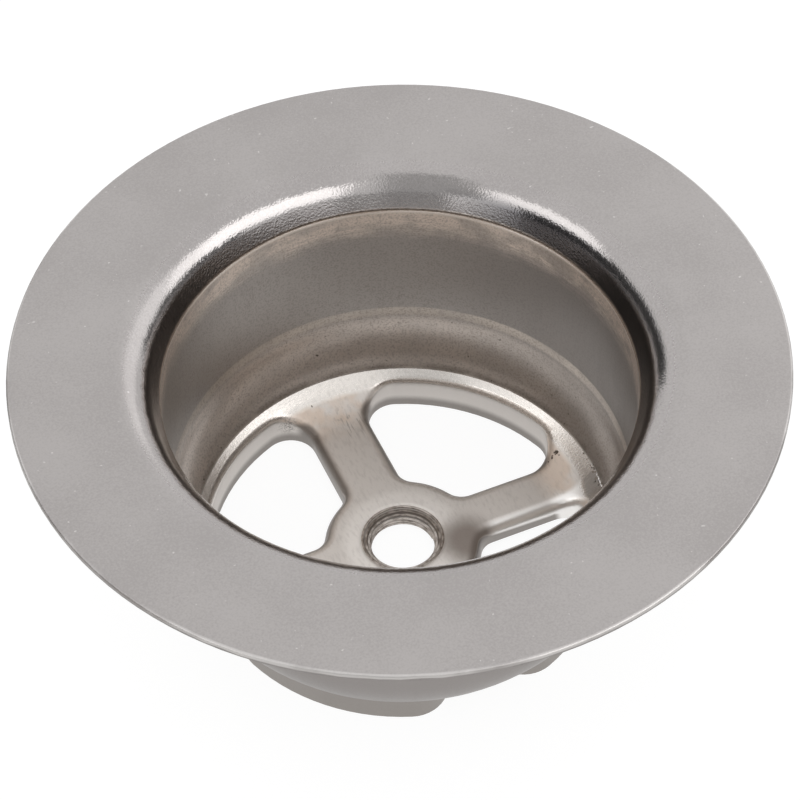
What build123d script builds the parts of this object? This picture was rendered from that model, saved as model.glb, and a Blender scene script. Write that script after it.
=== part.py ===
"""Pressed waste cup for a sink: a flanged cup drawn from one steel sheet, with a crosshead bottom."""
import os
from math import cos, radians, sin

from build123d import *

# Driving dimensions in millimetres and degrees
sheet = 0.8                    # thickness of the pressed sheet
overall_height = 28.8          # rims of the window lips to the top of the flange
flange_radius = 35.0
flange_edge_chamfer = 0.2      # broken edge of the flange
throat_radius = 21.6           # inside of the upper wall, where a plug seats
shoulder_radius = 4.0          # roll from the flange down into the cup
band_angle = 65.0              # slope of the band between that roll and the wall
band_length = 1.5
nose_radius = 1.0              # tight bend from the band into the wall
draw_step = 0.15               # the lower wall is drawn a little narrower
draw_step_height = 10.4        # height of the draw line above the lip rims
draw_step_length = 0.8
corner_radius = 7.0            # inside radius between wall and floor
foot_start = 42.0              # slope of that bend where the foot line is pressed into it
foot_end = 70.0                # and where the line runs out up the bend
foot_ledge_angle = 38.0        # narrow ledge along the line
foot_ledge_length = 0.7
window_margin = 2.85           # lower wall to the outer edge of a window, in plan
hub_radius = 7.6               # window edges round the hub
spoke_width_x = 5.4            # between the window edges, on the spokes along X
spoke_width_y = 6.1            # and on the spokes along Y
window_corner_radius = 2.7     # corners beside the wall
hub_corner_radius = 1.8        # corners where spokes meet the hub
rim_roll = 1.3                 # upper face rolling over into a window lip
lip_straight = 0.7             # straight end of a lip below its bend
hub_bore_radius = 3.2          # bore for the thread of the centre screw
hub_roll = 1.2                 # upper face rolling over into the hub bore

# Heights and radii that follow
lip_depth = rim_roll + lip_straight
lower_wall_radius = throat_radius - draw_step
floor_flat_radius = lower_wall_radius - corner_radius
window_outer_radius = lower_wall_radius - window_margin
wall_top = overall_height - shoulder_radius * (1 - cos(radians(band_angle))) \
    - band_length * sin(radians(band_angle)) - nose_radius * cos(radians(band_angle))

# Four windows on the diagonals, so that the spokes of the cross lie along X and Y
with BuildSketch() as windows:
    Circle(window_outer_radius)
    Circle(hub_radius, mode=Mode.SUBTRACT)
    Rectangle(2 * flange_radius, spoke_width_x, mode=Mode.SUBTRACT)
    Rectangle(spoke_width_y, 2 * flange_radius, mode=Mode.SUBTRACT)
    fillet(windows.vertices().sort_by_distance((0, 0))[8:], window_corner_radius)
    fillet(windows.vertices().sort_by_distance((0, 0))[:8], hub_corner_radius)

# Lips drawn down round the windows, trimmed to the upper face of the cup
with BuildPart() as lips:
    with BuildSketch():
        offset(windows.sketch, amount=sheet)
    extrude(amount=overall_height)
    with BuildSketch(Plane.XZ):
        with BuildLine():
            floor_line = Line((0, lip_depth), (floor_flat_radius, lip_depth))
            corner = JernArc(floor_line @ 1, floor_line % 1, corner_radius, 90)
            Polyline(corner @ 1, (lower_wall_radius, 0), (0, 0), (0, lip_depth))
        make_face()
    revolve(mode=Mode.INTERSECT)

with BuildPart() as waste_cup:
    # Section of the sheet: its upper face from the middle of the floor out to the flange, then its thickness
    with BuildSketch(Plane.XZ):
        with BuildLine():
            floor_line = Line((0, lip_depth), (floor_flat_radius, lip_depth))
            corner = JernArc(floor_line @ 1, floor_line % 1, corner_radius, 90)
            lower_wall = Line(corner @ 1, (lower_wall_radius, draw_step_height))
            draw_line = Line(lower_wall @ 1, (throat_radius, draw_step_height + draw_step_length))
            upper_wall = Line(draw_line @ 1, (throat_radius, wall_top))
            nose = JernArc(upper_wall @ 1, (0, 1), nose_radius, band_angle - 90)
            band = PolarLine(nose @ 1, band_length, band_angle)
            shoulder = JernArc(band @ 1, band % 1, shoulder_radius, -band_angle)
            Line(shoulder @ 1, (flange_radius, overall_height))
            offset(amount=sheet, side=Side.RIGHT)
        make_face()
    revolve()
    chamfer(waste_cup.edges().filter_by(GeomType.CIRCLE).group_by(SortBy.RADIUS)[-1], flange_edge_chamfer)

    # Lips, with the inside of each bend on the underside
    add(lips.part)
    fillet(waste_cup.edges(Select.NEW), rim_roll - sheet)

    # Windows, with their rims rolled over
    extrude(windows.sketch, amount=overall_height, mode=Mode.SUBTRACT)
    fillet(waste_cup.edges(Select.NEW).filter_by(Axis.Z, reverse=True).filter_by_position(
        Axis.Z, sheet, overall_height), rim_roll)

    # Foot line pressed into the bend, all the way round
    with BuildSketch(Plane.XZ):
        with BuildLine():
            foot_ledge = PolarLine(corner @ (foot_start / 90), foot_ledge_length, foot_ledge_angle)
            Polyline(foot_ledge @ 1, corner @ (foot_end / 90), foot_ledge @ 0)
        make_face()
    revolve(mode=Mode.SUBTRACT)

    # Collar drawn down round the hub bore, and the bore with its rolled mouth
    with BuildSketch():
        Circle(hub_bore_radius + sheet)
    extrude(amount=lip_depth - sheet / 2)
    fillet(waste_cup.edges(Select.NEW), hub_roll - sheet)
    with BuildSketch():
        Circle(hub_bore_radius)
    extrude(amount=overall_height, mode=Mode.SUBTRACT)
    fillet(waste_cup.edges(Select.NEW).filter_by_position(Axis.Z, sheet, overall_height), hub_roll)

waste_cup.part.label = "waste_cup"
os.makedirs("parts", exist_ok=True)
export_step(waste_cup.part, "parts/waste_cup.step")
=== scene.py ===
import random
from math import cos, radians, sin, tau

import bmesh
import bpy
from mathutils import Matrix, Vector
from mathutils.bvhtree import BVHTree


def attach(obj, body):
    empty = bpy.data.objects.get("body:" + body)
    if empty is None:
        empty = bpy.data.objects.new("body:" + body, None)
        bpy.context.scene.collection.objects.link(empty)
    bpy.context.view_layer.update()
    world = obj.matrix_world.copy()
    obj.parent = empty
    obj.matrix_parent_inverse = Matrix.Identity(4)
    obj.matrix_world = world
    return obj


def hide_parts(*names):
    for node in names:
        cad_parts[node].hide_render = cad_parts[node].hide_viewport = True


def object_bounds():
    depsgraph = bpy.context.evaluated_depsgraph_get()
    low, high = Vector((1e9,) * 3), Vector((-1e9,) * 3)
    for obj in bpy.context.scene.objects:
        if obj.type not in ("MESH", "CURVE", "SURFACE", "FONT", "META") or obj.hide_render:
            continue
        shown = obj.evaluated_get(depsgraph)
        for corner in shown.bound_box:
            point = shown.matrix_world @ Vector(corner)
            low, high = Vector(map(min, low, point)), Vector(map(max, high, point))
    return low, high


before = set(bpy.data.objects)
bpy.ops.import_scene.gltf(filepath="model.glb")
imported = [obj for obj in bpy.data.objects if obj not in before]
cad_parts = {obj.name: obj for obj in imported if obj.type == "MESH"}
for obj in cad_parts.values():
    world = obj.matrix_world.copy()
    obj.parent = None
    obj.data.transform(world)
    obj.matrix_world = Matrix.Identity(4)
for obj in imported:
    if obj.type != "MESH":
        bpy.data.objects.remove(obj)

cad_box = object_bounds()


# Waste cup: one disc of stainless sheet, drawn in a press into a flange, a throat and a dished bottom.
# The flange is satin, the drawing has stretched a bright grain over the shoulder and browned the throat,
# and the bottom is pierced to a cross whose rims are rolled down.
class Wire:
    """One value on its way through a material's nodes. Arithmetic on it adds Math nodes."""

    def __init__(self, socket):
        self.socket = socket

    def node(self, kind, settings, inputs, output=0):
        """Adds a node to the same material: its settings first, then its inputs, and hands on one output."""
        tree = self.socket.id_data
        made = tree.nodes.new("ShaderNode" + kind)
        for name, value in settings.items():
            setattr(made, name, value)
        for name, value in inputs.items():
            if isinstance(value, Wire):
                tree.links.new(value.socket, made.inputs[name])
            else:
                made.inputs[name].default_value = value
        return Wire(made.outputs[output])

    def maths(self, operation, first, second):
        return self.node("Math", {"operation": operation}, {0: first, 1: second})

    def vector(self, operation, second, output=0):
        return self.node("VectorMath", {"operation": operation}, {0: self, 1: second}, output)

    def into(self, socket):
        self.socket.id_data.links.new(self.socket, socket)

    def __add__(self, other):
        return self.maths("ADD", self, other)

    def __sub__(self, other):
        return self.maths("SUBTRACT", self, other)

    def __rsub__(self, other):
        return self.maths("SUBTRACT", other, self)

    def __mul__(self, other):
        return self.maths("MULTIPLY", self, other)

    __radd__ = __add__
    __rmul__ = __mul__

    def rise(self, low, high):
        """0 below low and 1 above high, with a soft step between. High before low turns it round."""
        return self.node("MapRange", {"interpolation_type": "SMOOTHSTEP"},
                         {"Value": self, "From Min": low, "From Max": high})

    def noise(self, stretch, detail):
        """Cloudy noise over this place, with stretch cycles in each millimetre along X, Y and Z."""
        stretched_place = self.vector("MULTIPLY", stretch)
        return self.node("TexNoise", {}, {"Vector": stretched_place, "Scale": 1.0, "Detail": detail}, "Fac")

    def near(self, point, reach):
        """1 at a point in millimetres, falling to 0 at its reach."""
        return self.vector("DISTANCE", point, "Value").rise(reach, 0.0)

    def part(self, axis):
        return self.node("SeparateXYZ", {}, {0: self}, axis)

    def colour(self, plain, covered):
        """The plain colour where this value is 0, and the covering colour where it is 1."""
        return self.node("Mix", {"data_type": "RGBA"}, {0: self, 6: plain, 7: covered}, 2)


def surface_finish(name, metallic):
    """A new material with its shader, and the place on the piece in millimetres and the way it faces."""
    material = bpy.data.materials.new(name)
    material.use_nodes = True
    shader = material.node_tree.nodes["Principled BSDF"]
    shader.inputs["Metallic"].default_value = metallic
    coordinates = material.node_tree.nodes.new("ShaderNodeTexCoord")
    metres = Wire(coordinates.outputs["Object"])
    millimetres = metres.node("VectorMath", {"operation": "SCALE"}, {0: metres, "Scale": 1000.0})
    return material, shader, millimetres, Wire(coordinates.outputs["Normal"])


def put_in_scene(name, made, material):
    """Turns a finished bmesh into an object of the scene, in one material."""
    mesh = bpy.data.meshes.new(name)
    made.to_mesh(mesh)
    made.free()
    mesh.materials.append(material)
    placed = bpy.data.objects.new(name, mesh)
    bpy.context.scene.collection.objects.link(placed)
    return placed


# Colours of the steel's zones; several of them stand in for light or shade painted at fixed places, as marked
satin_bright = (0.452, 0.429, 0.421, 1)
satin_dull = (0.39, 0.368, 0.361, 1)
outside_grey = (0.295, 0.275, 0.264, 1)
painted_shoulder_shade = (0.13, 0.128, 0.135, 1)
throat_edge_highlight = (0.72, 0.65, 0.59, 1)
throat_grey = (0.325, 0.298, 0.276, 1)
throat_shade_and_pepper = (0.17, 0.152, 0.14, 1)
throat_tan = (0.64, 0.55, 0.48, 1)
throat_brown = (0.56, 0.492, 0.44, 1)
draw_line_highlight = (0.47, 0.415, 0.365, 1)
bottom_warm_and_lit = (0.82, 0.775, 0.735, 1)
foot_bright = (0.74, 0.70, 0.66, 1)
root_tan = (0.80, 0.69, 0.60, 1)
painted_hub_light = (0.97, 0.93, 0.89, 1)
painted_hub_shade = (0.36, 0.315, 0.285, 1)
scuffed = (0.34, 0.30, 0.27, 1)
roll_shade = (0.30, 0.268, 0.245, 1)
# near white, used only for painted highlights and sparkle specks
painted_highlight = (0.92, 0.90, 0.88, 1)
lip_grey = (0.30, 0.278, 0.26, 1)
lip_burnish_and_light = (0.62, 0.585, 0.555, 1)
dark_grime_and_shade = (0.07, 0.06, 0.05, 1)

# Where the zones begin and end, in millimetres
flange_rim = 34.72
burnish_radius = 24.6
throat_top = 24.75
tan_band_bottom = 22.0
draw_line = 10.8
foot_line = 4.25
lip_top = 3.4
dish_start, dish_full = 2.9, 3.3
lip_radius = 16.4
rubbed_and_lit_lip_bottom = 1.25

# Where other zones start and are full, and the places of single marks with their reach
stretched_above = (27.6, 26.5)
shoulder_shading_span = (11.0, 19.0)
shoulder_highlight_front, shoulder_highlight_left = (7.0, -3.0), (6.0, -8.0)
throat_shading_span = (9.0, 23.0)
root_inside = (13.5, 16.5)
hub_ring_inside, hub_ring_outside = (3.9, 4.5), (6.4, 5.0)
roll_above = (2.6, 2.1)
spoke_rim_front, spoke_rim_back, spoke_rim_inside = (-4.2, -3.3), (-1.3, -2.1), (7.6, 9.0)
scuff_place, scuff_reach = (1.0, 15.2, 2.5), 3.0
hub_shade_centre, hub_shade_spread = (5.4, -2.6, 2.0), 4.6
wall_smudge_place, wall_smudge_reach = (-11.6, 18.2, 8.8), 3.6
lip_smear_place, lip_smear_reach = (-4.8, 17.6, 2.2), 1.8

# Roughness of the satin sheet, and the height of its grain and streaks in millimetres
satin_roughness = 0.42
grain_height = 0.006
streak_height = 0.0018

steel, steel_shader, place, facing = surface_finish("pressed_steel", 1.0)
flat_place = place.vector("MULTIPLY", (1, 1, 0))
radius = flat_place.node("VectorMath", {"operation": "LENGTH"}, {0: flat_place}, "Value")
outward = flat_place.node("VectorMath", {"operation": "NORMALIZE"}, {0: flat_place})
along, across, height = (place.part(axis) for axis in "XYZ")
turned_out = facing.vector("DOT_PRODUCT", outward, "Value")
turned_up = facing.part("Z")

clouds = place.noise((0.11, 0.11, 0.11), 4.0)
patches = place.noise((0.28, 0.28, 0.55), 4.0)
grain = place.noise((5.2, 5.2, 5.2), 1.0)
streaks = place.noise((3.0, 3.0, 0.22), 3.0)
rubbing = place.noise((0.35, 0.35, 7.0), 3.0)
wander = place.noise((0.4, 0.4, 0.4), 3.0) - 0.5

# Zones from the flange down to the rims of the lips
inside = (turned_up - turned_out).rise(-0.15, 0.15)
on_flange_edge = radius.rise(flange_rim, flange_rim + 0.12) * turned_up.rise(-0.1, 0.1)
on_flange_edge = on_flange_edge * clouds.rise(0.40, 0.60)
burnished = radius.rise(burnish_radius + 1.0, burnish_radius - 0.9) * inside
burnished = burnished * height.rise(throat_top - 0.1, throat_top + 0.1)
stretched = height.rise(throat_top + 0.25, throat_top + 0.5) * height.rise(*stretched_above) * inside
edge_of_throat = height.rise(throat_top - 0.35, throat_top) * inside
edge_of_throat = edge_of_throat * height.rise(throat_top + 0.55, throat_top + 0.15)
in_throat = height.rise(throat_top + 0.1, throat_top - 0.05) * inside
# The right side of the throat gets painted shade; the same dark colour also marks the granular pepper specks
throat_shaded_right = along.rise(*throat_shading_span)
tan_band = (height + wander * 1.2 + rubbing * 1.6).rise(tan_band_bottom - 0.5, tan_band_bottom + 2.4)
tan_band = tan_band * in_throat * (0.4 + 0.6 * patches.rise(0.35, 0.62)) * (0.55 + rubbing)
on_draw_line = height.rise(draw_line - 0.9, draw_line - 0.2) * inside
on_draw_line = on_draw_line * height.rise(draw_line + 0.7, draw_line + 0.3)
under_draw_line = height.rise(draw_line + 0.1, draw_line - 1.4) * inside
browned = under_draw_line * (1 - 0.5 * throat_shaded_right) * (0.6 + 0.8 * (patches - 0.3))
at_foot = height.rise(foot_line - 0.1, foot_line + 0.1) * inside
at_foot = at_foot * height.rise(foot_line + 0.9, foot_line + 0.3)
on_bottom = height.rise(foot_line + 0.2, foot_line - 0.05) * inside
on_dish = height.rise(dish_start, dish_full) * on_bottom
on_roots = radius.rise(*root_inside) * height.rise(dish_full, dish_start) * on_bottom
on_roots = on_roots * patches.rise(0.35, 0.6)
on_hub = radius.rise(*hub_ring_inside) * radius.rise(*hub_ring_outside) * on_bottom
on_rolls = turned_up.rise(0.985, 0.72) * height.rise(*roll_above) * on_bottom
# A strip along one spoke's rolled rim, given a painted highlight and made smoother, and kept out of the rolls'
# painted shade
spoke_rim = across.rise(*spoke_rim_front) * across.rise(*spoke_rim_back) * along.rise(*spoke_rim_inside)
spoke_rim = spoke_rim * on_bottom
on_lips = turned_up.rise(0.45, 0.2) * height.rise(lip_top, lip_top - 0.2)
lips_rubbed_and_lit = on_lips * turned_out.rise(-0.4, -0.7) * radius.rise(lip_radius, lip_radius + 1.0)
lips_rubbed_and_lit = lips_rubbed_and_lit * height.rise(rubbed_and_lit_lip_bottom - 0.7, rubbed_and_lit_lip_bottom + 0.3)

# Wear and grime, with painted sparkle, painted shade on the hub and a painted crease shade along the foot
above_bottom = in_throat * (1 - on_bottom)
# Painted sparkle: rare bright specks of colour on the flange, in place of reflected light
painted_glints = place.noise((2.9, 2.9, 2.9), 0.0).rise(0.84, 0.90)
peppered = (0.85 * grain + 0.15 * streaks).rise(0.44, 0.68) * above_bottom * (0.2 + 0.35 * patches)
scuffs = place.noise((4.2, 0.45, 4.2), 2.0).rise(0.54, 0.66) * place.near(scuff_place, scuff_reach)
brushed = place.noise((3.4, 1.1, 3.4), 3.0).rise(0.45, 0.75) * on_bottom * 0.16
hub_shade = place.near(hub_shade_centre, hub_shade_spread) * (0.6 + 0.6 * patches) * inside
specks = place.noise((2.6, 2.6, 2.6), 1.0).rise(0.70, 0.78)
pitted = place.noise((0.5, 0.5, 0.5), 2.0).rise(0.45, 0.6)
wall_smudge = place.near(wall_smudge_place, wall_smudge_reach) * patches.rise(0.3, 0.7) * 0.2 * inside
lip_smear = place.near(lip_smear_place, lip_smear_reach) * grain.rise(0.4, 0.6) * 0.6 * inside
grime_and_foot_shade = specks * pitted * above_bottom * (0.1 + 0.6 * under_draw_line)
grime_and_foot_shade = grime_and_foot_shade + 0.45 * at_foot * patches.rise(0.3, 0.6) + wall_smudge + lip_smear

skin = (clouds + 1.1 * (grain - 0.5)).rise(0.15, 0.85).colour(satin_dull, satin_bright)
coverings = [  # how far each colour covers what is under it, from the sheet up
    # painted sparkle specks on the flange
    (painted_glints * 0.35, painted_highlight),
    (1 - inside, outside_grey),
    # painted shade over the stretched shoulder band, light all round and heavy towards its right side
    (stretched * (0.1 + 0.8 * along.rise(*shoulder_shading_span)), painted_shoulder_shade),
    # painted highlight on the front and left of the stretched shoulder band
    (stretched * across.rise(*shoulder_highlight_front) * along.rise(*shoulder_highlight_left) * 0.8, painted_highlight),
    (in_throat, throat_grey),
    # painted shade on the right side of the throat
    (in_throat * throat_shaded_right * 0.75, throat_shade_and_pepper),
    (tan_band, throat_tan),
    (browned, throat_brown),
    # painted highlight, light tan, along the draw line
    ((on_draw_line * (0.5 + patches)).rise(0.2, 1.2), draw_line_highlight),
    (peppered, throat_shade_and_pepper),
    # a thin light line on the throat's top edge, partly burnish and partly a painted highlight
    (edge_of_throat, throat_edge_highlight),
    # the bottom's warm tone, lifted far above steel as painted light; the dish's colour below is lifted the
    # same way
    (on_bottom, bottom_warm_and_lit),
    (on_dish, foot_bright),
    (on_roots, root_tan),
    # painted light on the hub ring, nearly white
    (on_hub * 0.8, painted_hub_light),
    (brushed + 0.6 * scuffs, scuffed),
    (on_rolls * (0.92 - 0.92 * spoke_rim), roll_shade),
    (on_lips, lip_grey),
    # the upper band of the lips, partly burnished by the punch and partly painted light that carries the
    # ring's brightness down
    (lips_rubbed_and_lit, lip_burnish_and_light),
    # painted highlight on one spoke's rim, partly a rubbed bright edge
    (spoke_rim * 0.9, painted_highlight),
    # painted highlight, broken up, along the flange's outer edge, partly a worn edge
    (on_flange_edge * 0.35, painted_highlight),
    # painted shade, brownish, on the right side of the hub
    (hub_shade.rise(0.0, 0.8), painted_hub_shade),
    # grime specks and smears, and a dark line along the foot that is partly lodged grime and partly painted
    # crease shade
    (grime_and_foot_shade.rise(0.0, 1.0), dark_grime_and_shade),
]
for cover, covering in coverings:
    skin = cover.colour(skin, covering)
skin.into(steel_shader.inputs["Base Color"])

roughness = satin_roughness + 0.08 * (clouds - 0.5) + 0.10 * (grain - 0.5) + 0.06 * (streaks - 0.5)
roughness = roughness - 0.27 * burnished - 0.05 * in_throat
roughness = roughness + 0.18 * on_bottom - 0.30 * on_dish - 0.25 * spoke_rim
roughness.into(steel_shader.inputs["Roughness"])
relief = grain * (grain_height * (1 + 1.4 * burnished + 0.3 * under_draw_line))
relief = relief + (streaks + 0.5 * rubbing) * (streak_height * in_throat)
bumped = relief.node("Bump", {}, {"Height": relief, "Distance": 0.001, "Strength": 1.0}, "Normal")
bumped.into(steel_shader.inputs["Normal"])

# The sheet's own mesh, merged and smooth, with its creases kept and the flange's broken edge left soft
crease_angle = radians(16)
flange_edge_start = 0.0345
flange_edge_angle = radians(60)
merge_distance = 2e-6

cup_bmesh = bmesh.new()
cup_bmesh.from_mesh(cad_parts["waste_cup"].data)
bmesh.ops.remove_doubles(cup_bmesh, verts=cup_bmesh.verts, dist=merge_distance)
for face in cup_bmesh.faces:
    face.smooth = True
for edge in cup_bmesh.edges:
    at_flange_edge = edge.verts[0].co.xy.length > flange_edge_start
    edge.smooth = edge.calc_face_angle(0.0) < (flange_edge_angle if at_flange_edge else crease_angle)
cup_surface = BVHTree.FromBMesh(cup_bmesh)
steel_cup = put_in_scene("steel_cup", cup_bmesh, steel)
flat_faces_lead = steel_cup.modifiers.new("flat_faces_lead", "WEIGHTED_NORMAL")
flat_faces_lead.weight = 100
flat_faces_lead.keep_sharp = True
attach(steel_cup, "root")
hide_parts("waste_cup")


# Hub thread: the ridges of the thread that the tap left in the hub bore and up its rolled mouth.
# They are cut in the cup's own sheet, for the centre screw.
thread_dull = (0.24, 0.205, 0.18, 1)
thread_worn = (0.62, 0.57, 0.53, 1)
bore_radius = 0.0032
mouth_roll = 0.0012
mouth_start = 0.0008
ridge_height = 0.00014
ridge_half_width = 0.00015
ridge_crest = 0.3              # half width of a ridge's crest, as a share of its foot's
ridge_root = 0.00003           # how far a ridge's foot is sunk in the steel
first_ridge = 0.0002
bore_turns = 2
bore_climb = 0.00064
turn_steps = 72
mouth_ridge_angles = (6, 26, 46, 64)

thread_steel, thread_shader, thread_place, _ = surface_finish("cut_thread", 1.0)
thread_wear = thread_place.noise((1.4, 1.4, 4.0), 3.0)
thread_wear.rise(0.3, 0.7).colour(thread_dull, thread_worn).into(thread_shader.inputs["Base Color"])
(0.3 + 0.2 * thread_wear).into(thread_shader.inputs["Roughness"])

thread_bmesh = bmesh.new()


def cut_ridge(reach, rise, lean, turns, climb):
    """One ridge of the thread. Its section stands out of the steel, leans with the mouth and is spun round."""
    out = Vector((-cos(lean), 0, sin(lean)))
    side = Vector((sin(lean), 0, cos(lean))) * ridge_half_width
    foot = Vector((reach, 0, rise)) - out * ridge_root
    crest = out * (ridge_height + ridge_root)
    corners = [thread_bmesh.verts.new(foot + corner) for corner in (
        -side, crest - side * ridge_crest, crest + side * ridge_crest, side)]
    edges = [thread_bmesh.edges.new(pair) for pair in zip(corners, corners[1:] + corners[:1])]
    steps = turn_steps * turns
    bmesh.ops.spin(thread_bmesh, geom=[*corners, *edges], cent=(0, 0, 0), axis=(0, 0, 1), angle=tau * turns,
                   steps=steps, dvec=(0, 0, climb / steps), use_merge=climb == 0)


cut_ridge(bore_radius, first_ridge, 0.0, bore_turns, bore_climb)
for angle in mouth_ridge_angles:
    lean = radians(angle)
    cut_ridge(bore_radius + mouth_roll * (1 - cos(lean)), mouth_start + mouth_roll * sin(lean), lean, 1, 0.0)
open_ends = [edge for edge in thread_bmesh.edges if edge.is_boundary]
bmesh.ops.holes_fill(thread_bmesh, edges=open_ends, sides=4)
bmesh.ops.remove_doubles(thread_bmesh, verts=thread_bmesh.verts, dist=1e-6)
bmesh.ops.recalc_face_normals(thread_bmesh, faces=thread_bmesh.faces)
hub_thread = put_in_scene("hub_thread", thread_bmesh, thread_steel)
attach(hub_thread, "root")


# Residue: dry brown grains of scale, lodged along the foot line and at a window's corner.
# They cling to the steel.
residue_dark = (0.055, 0.042, 0.03, 1)
residue_pale = (0.30, 0.25, 0.20, 1)
residue_spots = [  # bearing and radius of the middle, spread along and across, number, largest grain
    (-8.0, 19.62, 6.0, 0.16, 46, 0.00013),
    (8.6, 17.7, 1.1, 0.35, 12, 0.00017),
    (96.2, 18.2, 0.3, 0.08, 2, 0.00016),
]
grain_shape = Matrix.Diagonal((1.0, 0.75, 0.6, 1.0))
smallest_share = 0.35
drop_height = 0.01
residue_seed = 11

residue, residue_shader, residue_place, _ = surface_finish("dry_residue", 0.0)
residue_mix = residue_place.noise((3.0, 3.0, 3.0), 2.0)
residue_mix.rise(0.35, 0.65).colour(residue_dark, residue_pale).into(residue_shader.inputs["Base Color"])
(0.75 + 0.2 * residue_mix).into(residue_shader.inputs["Roughness"])

random.seed(residue_seed)
residue_bmesh = bmesh.new()
for bearing, reach, along_spread, across_spread, number, largest in residue_spots:
    for _ in range(number):
        turn = radians(random.gauss(bearing, along_spread / 2))
        out = random.gauss(reach, across_spread) / 1000
        size = largest * random.uniform(smallest_share, 1.0)
        turned = random.uniform(0, tau)
        over = Vector((out * cos(turn), out * sin(turn), drop_height))
        spot, facing_there, _, _ = cup_surface.ray_cast(over, Vector((0, 0, -1)))
        if spot is not None:
            lie = facing_there.to_track_quat("Z", "Y").to_matrix().to_4x4()
            shape = Matrix.Translation(spot) @ lie @ Matrix.Rotation(turned, 4, "Z") @ grain_shape
            bmesh.ops.create_icosphere(residue_bmesh, subdivisions=1, radius=size, matrix=shape)
dry_residue = put_in_scene("dry_residue", residue_bmesh, residue)
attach(dry_residue, "root")


# Floor: a plain white studio sweep, which shows the cup's own soft shadow.
# It is not part of the cup.
floor_glow = 0.90
floor_colour = (0.16, 0.16, 0.16, 1)
floor_half_width = 6.0
black, white = (0, 0, 0, 1), (1, 1, 1, 1)

floor_paint = bpy.data.materials.new("white_floor")
floor_paint.use_nodes = True
floor_shader = floor_paint.node_tree.nodes["Principled BSDF"]
floor_shader.inputs["Base Color"].default_value = floor_colour
floor_shader.inputs["Roughness"].default_value = 1.0
floor_shader.inputs["Specular IOR Level"].default_value = 0.0
floor_shader.inputs["Emission Strength"].default_value = floor_glow
floor_rays = floor_paint.node_tree.nodes.new("ShaderNodeLightPath")
floor_seen = Wire(floor_rays.outputs["Is Camera Ray"]) + Wire(floor_rays.outputs["Is Glossy Ray"])
floor_seen = (floor_seen + Wire(floor_rays.outputs["Is Transmission Ray"])).rise(0.0, 1.0)
floor_seen.colour(black, white).into(floor_shader.inputs["Emission Color"])

floor_bmesh = bmesh.new()
bmesh.ops.create_grid(floor_bmesh, x_segments=1, y_segments=1, size=floor_half_width)
studio_floor = put_in_scene("studio_floor", floor_bmesh, floor_paint)


# Camera: a long lens looking down into the cup from in front, a little turned off level.
# Its bearing is the cup's own turn on the floor.
camera_bearing = 22.85
camera_elevation = 48.57
camera_distance = 0.255
camera_roll = -1.18
lens = 128.66
aim_below_flange = 0.0064

flange_centre = Vector((0, 0, cad_box[1].z))
aim = flange_centre - Vector((0, 0, aim_below_flange))
camera_data = bpy.data.cameras.new("camera")
camera_data.lens = lens
camera_data.sensor_width = 36
camera_data.clip_start = 0.01
camera = bpy.data.objects.new("camera", camera_data)
bpy.context.scene.collection.objects.link(camera)
bearing, elevation = radians(camera_bearing), radians(camera_elevation)
towards_camera = Vector((-sin(bearing) * cos(elevation), -cos(bearing) * cos(elevation), sin(elevation)))
camera.location = flange_centre + towards_camera * camera_distance
camera.rotation_mode = "QUATERNION"
look = (aim - camera.location).to_track_quat("-Z", "Y")
camera.rotation_quaternion = look @ Matrix.Rotation(radians(camera_roll), 3, "Z").to_quaternion()
bpy.context.scene.camera = camera


# Studio light: a white tent all round, with darker flags at the cup's sides and front, and soft boxes.
# Bearings are measured round the cup from the camera's right hand.
card_distance = 0.9
card_steps = 12
cards = {  # bearings, elevations and radiance
    "flag_left": ((128, 222), (-3, 24), 0.06),
    "flag_right": ((-26, 36), (-3, 13), 0.12),
    "flag_front": ((-126, -84), (9, 62), 0.6),
    "flag_front_low": ((-112, -66), (-3, 9), 0.35),
    "soft_box_right": ((-68, -6), (14, 42), 2.6),
    "soft_box_right_edge": ((-6, 14), (16, 40), 2.2),
    "bounce_right": ((14, 68), (17, 42), 1.45),
    "soft_box_left": ((-182, -129), (20, 43), 2.0),
    "soft_box_low_left": ((-141, -112), (-3, 25), 1.6),
}


def card(name, bearings, elevations, radiance):
    """A curved card round the cup, between two bearings and two elevations, which only reflections see."""
    low, high = (radians(e) for e in elevations)
    start, end = (radians(b - camera_bearing) for b in bearings)
    made = bmesh.new()
    ends = [made.verts.new((card_distance * cos(e) * cos(start), card_distance * cos(e) * sin(start),
                            card_distance * sin(e))) for e in (low, high)]
    edge = made.edges.new(ends)
    bmesh.ops.spin(made, geom=[*ends, edge], cent=(0, 0, 0), axis=(0, 0, 1), angle=end - start,
                   steps=card_steps, use_merge=False)
    paint = bpy.data.materials.new(name)
    paint.use_nodes = True
    shader = paint.node_tree.nodes["Principled BSDF"]
    shader.inputs["Base Color"].default_value = black
    shader.inputs["Specular IOR Level"].default_value = 0.0
    shader.inputs["Emission Color"].default_value = white
    shader.inputs["Emission Strength"].default_value = radiance
    made_card = put_in_scene(name, made, paint)
    made_card.visible_camera = False
    made_card.visible_diffuse = False
    made_card.visible_shadow = False


for name, shape in cards.items():
    card(name, *shape)

world = bpy.data.worlds.new("white_tent")
bpy.context.scene.world = world
world.use_nodes = True
world.node_tree.nodes["Background"].inputs["Color"].default_value = white
world.node_tree.nodes["Background"].inputs["Strength"].default_value = 1.0

bpy.context.scene.view_settings.view_transform = "Standard"
